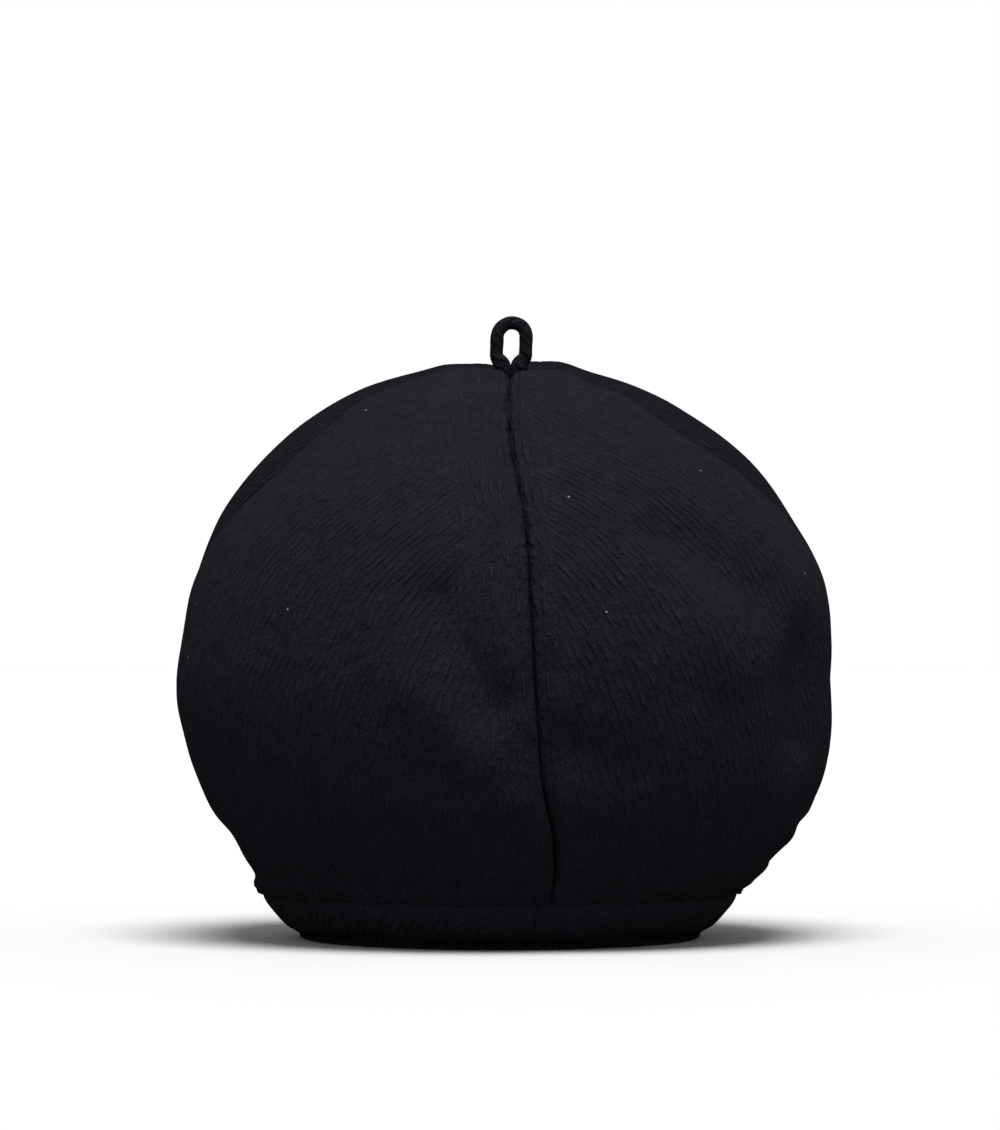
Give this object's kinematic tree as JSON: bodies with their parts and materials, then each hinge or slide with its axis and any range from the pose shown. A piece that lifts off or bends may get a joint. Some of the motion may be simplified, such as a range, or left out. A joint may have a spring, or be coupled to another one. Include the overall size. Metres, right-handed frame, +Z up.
{
  "type": "baker boy cap",
  "caption": "Full soft cap: a puffed crown of sewn panels gathered to a narrow band, with a cloth loop on top and a short peak in front.",
  "frame": {"origin": "bottom centre of the cap's bounding box, on the surface that it stands on", "axes": "+Z up through the crown; +Y towards the front, where the peak is; +X to the wearer's right"},
  "size_m": [0.275, 0.2889, 0.2604],
  "materials": {
    "crown_cloth": "black wool twill, matt, with diagonal ribs",
    "band_cloth": "black wool twill, matt",
    "peak_cloth": "black wool twill, matt",
    "loop_cloth": "black wool twill, matt"
  },
  "bodies": {
    "root": {"crown_back_left": "crown_cloth", "crown_back_right": "crown_cloth", "crown_front_left": "crown_cloth", "crown_front_right": "crown_cloth", "band": "band_cloth", "peak": "peak_cloth", "top_loop": "loop_cloth"}
  },
  "joints": []
}
